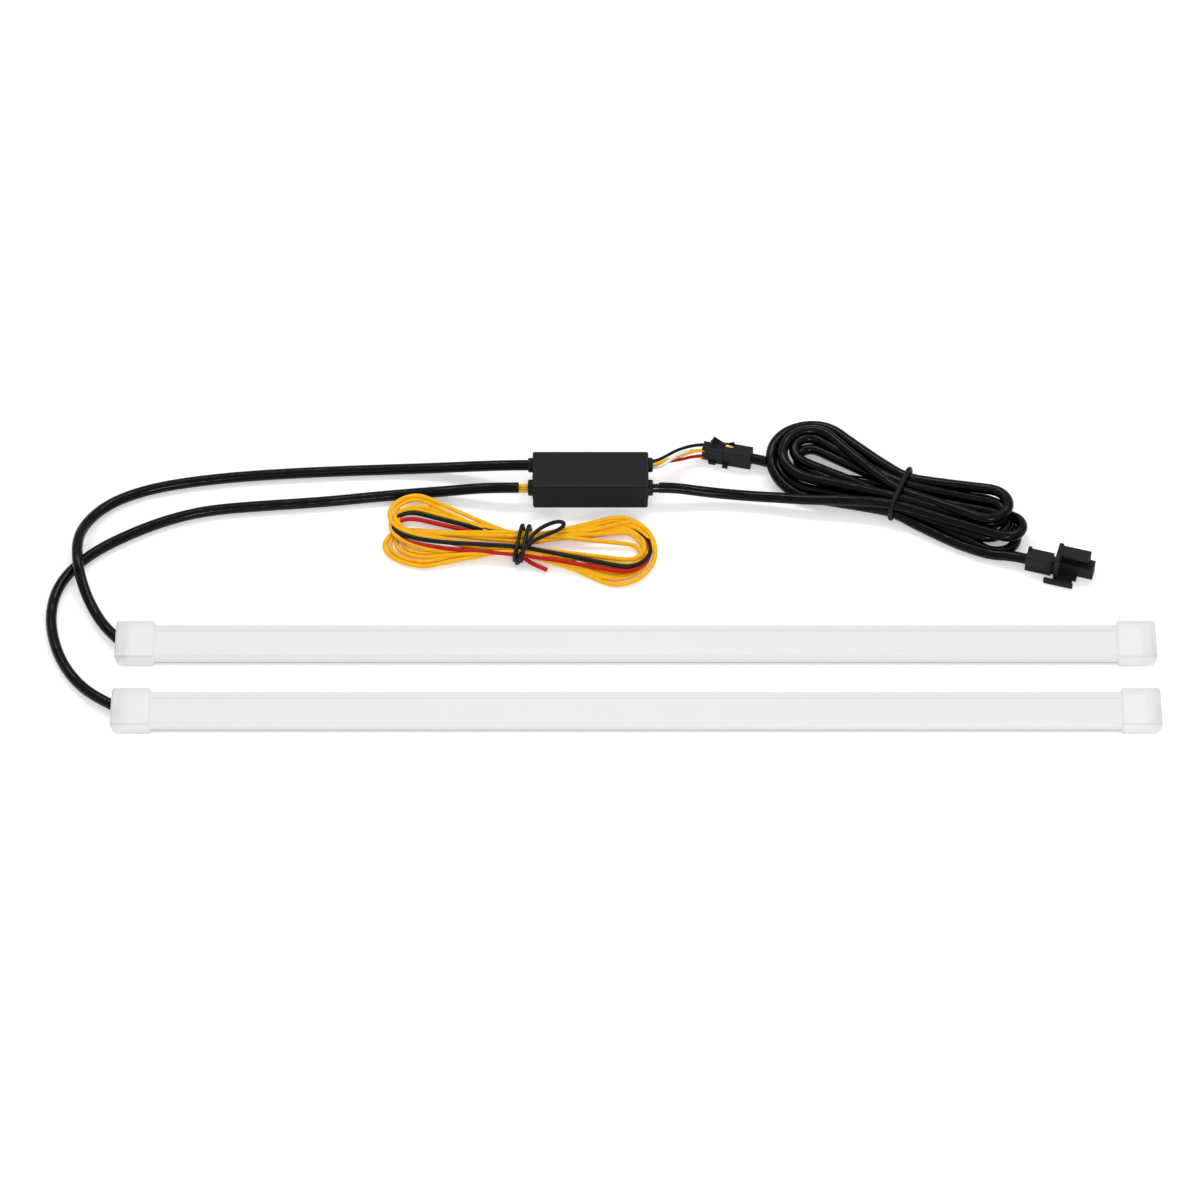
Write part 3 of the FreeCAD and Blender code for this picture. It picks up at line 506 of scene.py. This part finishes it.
# %% [markdown]
# The box's second lead leaves its front right gland and runs straight into the hank, in front. It goes round
# the right end once and stops inside the left end, under the other turns. Where it really ends can't be seen.
# Its jacket, too, stops short of the gland.

# %% Box lead
right_gland = gland_centre("gland_front_right")
right_core_length = 2.6
lead_start = box_right + gland_flange + right_core_length
lead_coil = [(-19.5, -13.0, 8.0), through_tie(upper_row[0])]
lead_coil += loop_points(RIGHT, 56.8, -7.0, 6.8, (8.2, 7.8, 6.0), upper_row[0], lower_row[3])
lead_coil += [through_tie(lower_row[3]), (-12, 4.6, 4.6), (-22, 11.5, 3.6), (-30, 17.4, 2.5)]
box_route = [(lead_start, *right_gland), (lead_start + 7, *right_gland), (28, 56.3, 6.8), (41, 55.6, 5.4),
             (53, 54.4, 5.4), (65, 52.9, 6.2), (76, 51.4, 6.8)]
box_route += in_layout(lead_coil, hank_centre, hank_turn)
box_cable = cable("box_cable", box_route, cable_diameter, jacket)
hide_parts("box_lead")

# %% [markdown]
# Four thin wires run from the box's rear right gland to the connector, in a loose twist. Each has its own
# hole in the gland and in the connector, and the white one crosses over the yellow one. A wire's row says
# which hole it has in the gland, how far it lies from the bundle's middle near the gland and half way, which
# hole it has in the connector, and its finish.

# %% Pigtail wires
pigtail_y, pigtail_z = gland_centre("gland_rear_right")
wire_diameter = 1.5
gland_hole = 1.0
contact_row = 1.55
contact_column = 2.1
pigtail_wires = {"black": ((1, 1), (1.4, 1.2), (2.2, 1.2), (1, 1), wire_black),
                 "yellow": ((-1, 1), (-0.2, 0.6), (-0.5, -0.9), (-1, 1), wire_yellow),
                 "white": ((-1, -1), (-2.6, 0.6), (-0.4, 1.9), (1, -1), wire_white),
                 "red": ((1, -1), (0.8, -1.4), (-1.2, -2.4), (-1, -1), wire_red)}
near_gland = (box_right + 7.0, pigtail_y + 2.6, pigtail_z - 0.8)
half_way = (box_right + 13.5, pigtail_y + 7.9, pigtail_z - 2.4)
for colour, (first, near, between, last, finish) in pigtail_wires.items():
    at_gland = (pigtail_y + first[0] * gland_hole, pigtail_z + first[1] * gland_hole)
    across, in_socket = last[0] * contact_row, contact_z + last[1] * contact_column
    route = [(box_right - 3, *at_gland), (box_right + 2.4, *at_gland),
             (near_gland[0], near_gland[1] + near[0], near_gland[2] + near[1]),
             (half_way[0], half_way[1] + between[0], half_way[2] + between[1]),
             pair_point(-1.4, across, in_socket), pair_point(2.9, across, in_socket)]
    wire = cable("wire_" + colour, route, wire_diameter, finish)
    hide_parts("pigtail_" + colour)

# %% [markdown]
# The supply harness is thin wire: two long yellow wires, one black and one red, folded into the same kind of
# bow. Its loops fall in two groups on the left, a raised one that leans on the front cable and a flat one on
# the table. Each wire repeats its loops in a loop of code, with small random differences from a fixed seed.
# A loop's row says its reach, its lower and upper swing and its three heights. A wire's row says its left
# and right loops, its places at the back and front of the tie, how long its left ends are, and its finish.
# The red wire also has a cut tail, which lies in front.

# %% Supply harness
harness_centre = (-50.6, 28.4)
harness_turn = -7.0
harness_wire = 2.0
draw = random.Random(7)
rows = (2.5, 4.3, 6.0)
columns = (5.2, 3.1, 1.0)
back_places = [(w, z) for z in rows for w in columns]
front_places = [(-w, z) for z in rows for w in columns]
height_jitter = 0.25
right_swell = (1.0, 0.95)


def jitter(size):
    return draw.uniform(-size, size)


def uneven(heights):
    return [height + jitter(height_jitter) for height in heights]


def harness_turns(left_loops, right_loops, backs, fronts, left_swell):
    """Points of one wire: front place, left loop, back place, right loop, and so on."""
    points = [through_tie(fronts[0])]
    for number, (left, right) in enumerate(zip(left_loops, right_loops)):
        front, back = fronts[number], backs[number]
        following = fronts[min(number + 1, len(fronts) - 1)]
        reach, bottom, top, heights = left
        points += loop_points(LEFT, reach, bottom, top, uneven(heights), front, back, left_swell)
        points.append(through_tie(back))
        reach, bottom, top, heights = right
        points += loop_points(RIGHT, reach, top, bottom, uneven(heights), back, following, right_swell)
        points.append(through_tie(following))
    return points


first_left = [(59.6, -3.0, 20.4, (5.4, 5.8, 6.4)), (57.4, -1.0, 18.8, (4.2, 5.2, 5.6)),
              (59.8, -15.8, 4.6, (1.6, 1.1, 1.4)), (54.4, -11.0, 2.6, (2.2, 1.3, 1.4))]
first_right = [(60.0, -15.8, 21.0, (4.6, 2.6, 1.1)), (58.2, -6.0, 19.0, (4.0, 3.4, 3.4)),
               (55.8, -11.4, 16.6, (2.2, 1.8, 1.2)), (53.4, -4.6, 7.6, (2.2, 2.0, 3.0))]
second_left = [(58.4, -8.0, 16.2, (4.0, 4.4, 4.2)), (55.6, 0.6, 14.4, (3.6, 3.8, 3.6)),
               (57.4, -13.4, 3.6, (1.4, 1.2, 1.8)), (51.8, -8.8, 2.0, (2.0, 1.6, 1.6))]
second_right = [(57.4, -12.7, 19.8, (3.2, 2.0, 1.2)), (57.2, -7.4, 17.8, (3.0, 2.8, 3.0)),
                (54.6, -9.8, 15.0, (1.8, 1.4, 1.4)), (54.6, -3.0, 14.0, (2.0, 2.6, 4.0))]
harness = {
    "harness_yellow_a": (first_left, first_right, back_places[0:8:2], front_places[0:8:2],
                         (1.9, 1.1), wire_yellow),
    "harness_yellow_b": (second_left, second_right, back_places[1:9:2], front_places[1:9:2],
                         (1.9, 1.1), wire_yellow),
    "harness_black": ([(57.8, -5.2, 12.0, (6.8, 4.2, 4.0))], [(57.6, -7.9, 16.4, (1.2, 3.6, 5.2))],
                      [(4.4, 3.2)], [(-3.7, 7.2), (-3.7, 7.2)], (3.0, 1.1), wire_black),
    "harness_red": ([(57.4, -7.0, 10.0, (5.2, 3.4, 2.6))], [(57.2, -9.8, 15.0, (1.1, 2.4, 4.2))],
                    [(3.2, 2.4)], [(-6.6, 5.2), (-6.4, 5.2)], (3.0, 1.1), wire_red),
}
tail_route = [(-38.6, 16.2, 1.4), (-44.6, 18.4, 2.4), (-49, 21.6, 3.2)]
for name, (left, right, backs, fronts, left_swell, finish) in harness.items():
    points = in_layout(harness_turns(left, right, backs, fronts, left_swell), harness_centre, harness_turn)
    if name == "harness_red":
        points = tail_route + points
    cable(name, points, harness_wire, finish)

# %% [markdown]
# The harness is held by a length of plain black wire: two turns round the middle, then a twist that crosses
# the front and ends in a small loop. The turns are a squared ellipse, because the bundle under them is
# wider than it is high. The loop and the crossing are points placed after the photo.

# %% Harness tie
tie_wire = 1.8
tie_middle = (0.1, 4.92)
tie_reach = (9.0, 3.98)
tie_start = -1.9
tie_pitch = 3.0
tie_squareness = 0.6
turn_points = 12
tie_turns = []
for step in range(2 * turn_points + 1):
    angle = -math.pi / 2 - 2 * math.pi * step / turn_points
    across, rise = (math.copysign(abs(v) ** tie_squareness, v) for v in (math.cos(angle), math.sin(angle)))
    tie_turns.append((tie_start + tie_pitch * step / turn_points, tie_middle[0] + tie_reach[0] * across,
                      tie_middle[1] + tie_reach[1] * rise))
tie_end = [(1.5, -6.0, 0.95), (-0.6, -9.8, 2.0), (0.6, -9.6, 5.6), (2.6, -6.8, 9.6), (5.2, -3.4, 10.4),
           (9.4, 0.6, 10.0), (14.2, 4.8, 8.8), (17.8, 8.8, 7.8), (18.2, 11.8, 7.2), (15.6, 12.6, 7.2),
           (11.0, 9.6, 8.0), (7.0, 4.4, 9.4), (4.8, -0.4, 10.2), (4.0, -3.0, 9.2)]
tie_route = in_layout(tie_turns + tie_end, harness_centre, harness_turn)
harness_tie = cable("harness_tie_wire", tie_route, tie_wire, wire_black)
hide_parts("harness_tie")
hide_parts("harness_hank")
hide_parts("red_tail")

# %% [markdown]
# The light strip is a sleeve of clear silicone with a white core that spreads the light of the diodes under
# it. Clear silicone in air would show the core sharply; a little roughness and a milky base colour give the
# soft edge seen in the photo. A real subsurface shader would also do, but it is slower and the pieces here
# are thin. Colours that change along a piece come from its own bounding box: one helper makes a ramp along an
# axis, another puts two ramps together.

# %% Helpers for silicone


def dress(finish, *names):
    """Puts a finish on every material slot of the named solids."""
    for name in names:
        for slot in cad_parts[name].material_slots:
            slot.material = finish


def light_passes(tree, shader, light_share=0.92):
    """Lets a share of the lamps' light through to what lies inside, as clear silicone does."""
    path = add_node(tree, "ShaderNodeLightPath")
    open_share = add_node(tree, "ShaderNodeMath", operation="MULTIPLY")
    open_share.inputs[1].default_value = light_share
    clear = add_node(tree, "ShaderNodeBsdfTransparent")
    both = add_node(tree, "ShaderNodeMixShader")
    tree.links.new(path.outputs["Is Shadow Ray"], open_share.inputs[0])
    tree.links.new(open_share.outputs["Value"], both.inputs["Fac"])
    tree.links.new(shader.outputs["BSDF"], both.inputs[1])
    tree.links.new(clear.outputs["BSDF"], both.inputs[2])
    tree.links.new(both.outputs["Shader"], tree.nodes["Material Output"].inputs["Surface"])


def shade_along(tree, axis, stops):
    """A colour that changes along one axis of the piece; stops are (share of its length, colour)."""
    place = add_node(tree, "ShaderNodeTexCoord")
    apart = add_node(tree, "ShaderNodeSeparateXYZ")
    ramp = add_node(tree, "ShaderNodeValToRGB")
    places = ramp.color_ramp.elements
    while len(places) < len(stops):
        places.new(0.5)
    for stop, (share, colour) in zip(places, stops):
        stop.position = share
        stop.color = (*colour, 1)
    tree.links.new(place.outputs["Generated"], apart.inputs["Vector"])
    tree.links.new(apart.outputs[axis], ramp.inputs["Fac"])
    return ramp.outputs["Color"]


def blended(tree, one, other, how):
    """Two colours put together at each point: how is DARKEN or LIGHTEN."""
    both = add_node(tree, "ShaderNodeMix", data_type="RGBA", blend_type=how)
    both.inputs["Factor"].default_value = 1.0
    tree.links.new(one, both.inputs[6])
    tree.links.new(other, both.inputs[7])
    return both.outputs[2]


def silicone_finish(name, through, roughness):
    """Milky silicone, still without its colour."""
    material, tree, shader = new_finish(name, IOR=1.41, Transmission_Weight=through, Specular_IOR_Level=0.2)
    vary(tree, grain(tree, 120), shader, "Roughness", roughness - 0.03, roughness + 0.04)
    bump(tree, grain(tree, 4000), shader, 0.00001, 0.2)
    light_passes(tree, shader)
    return material, tree, shader


print("silicone helpers ready")

# %% [markdown]
# The sleeve has a fine dark line of painted shade where the core's back edge meets it, painted light on its
# front face, and a dark line at its foot that is painted shade under the sleeve together with the tape's edge
# seen through. The caps are thicker and milkier: the end of the strip inside shows as a paler rectangle, and
# their walls are painted paler than their tops, as painted light. All of these are made by colour, not by
# steps in the surface. What lies inside the sleeve gets plain finishes.

# %% Finishes of the strips
white = (1, 1, 1)
black = (0, 0, 0)


def sleeve_finish():
    """The sleeve: a shade paler over the core than behind it, with painted light on its front face, a painted
    shade line at the core's back edge and a dark foot of painted shade with the tape's edge seen through.
    """
    material, tree, shader = silicone_finish("sleeve_silicone", 0.2, 0.3)
    # Painted light: the front face is painted paler, as a lamp in front would light it.
    front = (0.985, 0.985, 0.985)
    over_core = (0.915, 0.915, 0.92)
    behind_core = (0.90, 0.90, 0.90)
    # Painted shade: a dark line where the core's back edge lies under the sleeve.
    painted_seam_shade = (0.60, 0.61, 0.67)
    shade = shade_along(tree, "Y", [(0.0, front), (0.006, front), (0.012, over_core), (0.772, over_core),
                                    (0.779, painted_seam_shade), (0.79, painted_seam_shade), (0.797, behind_core), (1.0, behind_core)])
    # Painted shade under the sleeve's foot, together with the tape's edge seen through the silicone.
    painted_foot_shade_and_tape = (0.42, 0.43, 0.50)
    rise = shade_along(tree, "Z", [(0.0, painted_foot_shade_and_tape), (0.1, painted_foot_shade_and_tape), (0.2, white), (1.0, white)])
    tree.links.new(blended(tree, shade, rise, "DARKEN"), shader.inputs["Base Color"])
    return material


def cap_finish(name, strip_starts, strip_is_beyond):
    """An end cap, paler where the strip's end fills it, and painted paler on its walls as painted light.

    strip_starts is where the strip's end lies in the cap, as a share of the cap's length from its left face.
    """
    material, tree, shader = silicone_finish(name, 0.25, 0.3)
    hollow = (0.815, 0.815, 0.815)
    filled = (0.86, 0.86, 0.86)
    soft_edge = 0.04
    left, right = (hollow, filled) if strip_is_beyond else (filled, hollow)
    lengthways = shade_along(tree, "X", [(0.0, left), (strip_starts - soft_edge, left),
                                         (strip_starts + soft_edge, right), (1.0, right)])
    across = shade_along(tree, "Y", [(0.0, filled), (0.76, filled), (0.84, hollow), (1.0, hollow)])
    top = blended(tree, lengthways, across, "DARKEN")
    # Painted light: the cap's walls are painted paler than its top.
    painted_wall_light = (0.95, 0.95, 0.95)
    painted_wall_light_ramp = shade_along(tree, "Z", [(0.0, painted_wall_light), (0.86, painted_wall_light), (0.96, black), (1.0, black)])
    tree.links.new(blended(tree, top, painted_wall_light_ramp, "LIGHTEN"), shader.inputs["Base Color"])
    return material


def plain_finish(name, dark, light, roughness, scale=600, metallic=0.0, specular=0.4, raise_by=0.00004):
    """A finish with two near shades, varied roughness and fine bumps."""
    material, tree, shader = new_finish(name, Metallic=metallic, Specular_IOR_Level=specular)
    noise = grain(tree, scale)
    tint(tree, noise, shader, dark, light)
    vary(tree, noise, shader, "Roughness", roughness - 0.06, roughness + 0.06)
    bump(tree, grain(tree, 2.5 * scale), shader, raise_by, 0.4)
    return material


sleeve_silicone = sleeve_finish()
lead_cap = cap_finish("lead_cap_silicone", 0.4, strip_is_beyond=True)
plain_cap = cap_finish("plain_cap_silicone", 0.6, strip_is_beyond=False)
sealant = plain_finish("sealant", (0.82, 0.82, 0.82), (0.9, 0.9, 0.9), 0.35, 500)
core_white = plain_finish("core_white", (0.93, 0.93, 0.935), (0.95, 0.95, 0.95), 0.6, 200)
flex_white = plain_finish("flex_white", (0.78, 0.77, 0.72), (0.84, 0.83, 0.79), 0.5)
phosphor = plain_finish("phosphor", (0.78, 0.52, 0.06), (0.88, 0.66, 0.12), 0.35, 1500)
resistor_black = plain_finish("resistor_black", (0.012, 0.012, 0.014), (0.03, 0.03, 0.032), 0.45, 2500)
tape_foam = plain_finish("tape_foam", (0.62, 0.62, 0.61), (0.72, 0.72, 0.71), 0.8, 1800)
for strip in ("front_", "rear_"):
    dress(sleeve_silicone, strip + "light_sleeve")
    dress(lead_cap, strip + "lead_end_cap")
    dress(plain_cap, strip + "plain_end_cap")
    dress(core_white, strip + "diffuser_core")
    dress(flex_white, strip + "flex_circuit")
    dress(phosphor, strip + "led_chips")
    dress(resistor_black, strip + "chip_resistors")
    dress(tape_foam, strip + "adhesive_tape")
print("strip finishes:", [m.name for m in (sleeve_silicone, lead_cap, plain_cap, core_white, tape_foam)])

# %% [markdown]
# The box is black plastic with a fine spark-eroded texture, so it looks dark grey under a white sky. A fine
# groove, finer than the solids show, is drawn under the cover's top edge as a dark line of painted shade, and
# the edge above it is painted paler as a painted highlight; both are colours by height. The connectors are
# black nylon, a little smoother. Glands and the hank's tie are black rubber. The board and its parts are
# inside the box and get plain finishes. The contacts are brass.

# %% Finishes of the box and connectors


def box_finish():
    """Black plastic with a dark line of painted shade for a fine groove and a painted highlight on the edge
    above it, under the cover's top.
    """
    material = plain_finish("box_plastic", (0.015, 0.015, 0.0153), (0.021, 0.021, 0.0214), 0.6, 1400,
                            specular=0.08, raise_by=0.00007)
    tree = material.node_tree
    shader = tree.nodes["Principled BSDF"]
    plain = shader.inputs["Base Color"].links[0].from_socket
    # Painted shade: a dark line for a fine groove under the cover's top edge.
    painted_groove_shade = (0.004, 0.004, 0.0042)
    # Painted highlight: the cover's top edge is painted paler, as a lamp's reflection along it.
    edge = (0.045, 0.045, 0.045)
    open_face = (0.021, 0.021, 0.0214)
    rise = shade_along(tree, "Z", [(0.0, open_face), (0.925, open_face), (0.935, painted_groove_shade), (0.97, painted_groove_shade),
                                   (0.98, edge), (0.992, edge), (0.998, open_face)])
    # The plain colour times the ramp of painted shade and painted highlight.
    with_painted_light_and_shade = add_node(tree, "ShaderNodeMix", data_type="RGBA", blend_type="MULTIPLY")
    with_painted_light_and_shade.inputs["Factor"].default_value = 1.0
    share = add_node(tree, "ShaderNodeMix", data_type="RGBA", blend_type="DIVIDE")
    share.inputs["Factor"].default_value = 1.0
    share.inputs[7].default_value = (*open_face, 1)
    tree.links.new(rise, share.inputs[6])
    tree.links.new(plain, with_painted_light_and_shade.inputs[6])
    tree.links.new(share.outputs[2], with_painted_light_and_shade.inputs[7])
    tree.links.new(with_painted_light_and_shade.outputs[2], shader.inputs["Base Color"])
    return material


box_plastic = box_finish()
nylon = plain_finish("connector_nylon", (0.012, 0.012, 0.0123), (0.017, 0.017, 0.0174), 0.46, 900,
                     specular=0.1)
rubber = plain_finish("black_rubber", (0.004, 0.004, 0.0043), (0.008, 0.008, 0.0084), 0.48, 700,
                      specular=0.18)
brass = plain_finish("brass", (0.62, 0.40, 0.11), (0.78, 0.54, 0.18), 0.3, 1200, metallic=1.0)
board_green = plain_finish("board_green", (0.01, 0.09, 0.035), (0.015, 0.14, 0.05), 0.4, 500)
chip_epoxy = plain_finish("chip_epoxy", (0.008, 0.008, 0.009), (0.016, 0.016, 0.017), 0.6, 2500)
capacitor_case = plain_finish("capacitor_case", (0.45, 0.46, 0.48), (0.6, 0.61, 0.63), 0.35, 900,
                              metallic=0.9)
core_dark = plain_finish("core_dark", (0.005, 0.005, 0.006), (0.05, 0.016, 0.005), 0.42, 1100, specular=0.12)
dress(box_plastic, "box_cover", "box_base")
dress(nylon, "pigtail_socket", "extension_plug", "free_connector")
dress(rubber, "gland_rear_left", "gland_front_left", "gland_rear_right", "gland_front_right",
      "extension_hank_tie")
dress(brass, "pair_contacts", "free_contacts")
dress(board_green, "control_board")
dress(chip_epoxy, "controller_chip", "driver_transistors", "voltage_regulator")
dress(capacitor_case, "smoothing_capacitor")
dress(wire_yellow, "front_left_cores")
dress(core_dark, "front_right_cores")
print("box finishes:", [m.name for m in (box_plastic, nylon, rubber, brass, board_green, chip_epoxy)])

# %% [markdown]
# Before the caps were pushed on, pale sealant was put on the sleeve. What was squeezed out stands at each
# cap's mouth as an uneven bead. It is a curve up one side of the sleeve, over its top and down the other,
# whose radius differs from point to point, by draws from a fixed seed. A displaced tube would also do.

# %% Sealant beads
bead_thickness = 0.45
bead_fineness = 3
bead_points = 44
bead_foot = 1.0
bead_wander = 0.18
bead_shares = (0.35, 1.1)


def bead(name, mouth_x, strip):
    """An uneven bead round the sleeve, at a cap's mouth."""
    low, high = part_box(strip + "_light_sleeve")
    curve = bpy.data.curves.new(name, "CURVE")
    curve.dimensions = "3D"
    curve.bevel_depth = bead_thickness * MM
    curve.bevel_resolution = bead_fineness
    spline = curve.splines.new("POLY")
    foot_z = low.z + bead_foot * MM
    corners = [(low.y, foot_z), (low.y, high.z), (high.y, high.z), (high.y, foot_z)]
    lengths = [math.dist(corners[i], corners[i + 1]) for i in range(3)]
    spline.points.add(bead_points - 1)
    for number, control in enumerate(spline.points):
        way = sum(lengths) * number / (bead_points - 1)
        edge = 0
        while edge < 2 and way > lengths[edge]:
            way -= lengths[edge]
            edge += 1
        share = way / lengths[edge]
        first, last = corners[edge], corners[edge + 1]
        control.co = (mouth_x + jitter(bead_wander) * MM, first[0] + (last[0] - first[0]) * share,
                      first[1] + (last[1] - first[1]) * share, 1)
        control.radius = draw.uniform(*bead_shares)
    curve.materials.append(sealant)
    piece = bpy.data.objects.new(name, curve)
    scene.collection.objects.link(piece)
    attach(piece, "root")


for strip in ("front", "rear"):
    bead(strip + "_lead_sealant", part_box(strip + "_lead_end_cap")[1].x, strip)
    bead(strip + "_plain_sealant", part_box(strip + "_plain_end_cap")[0].x, strip)
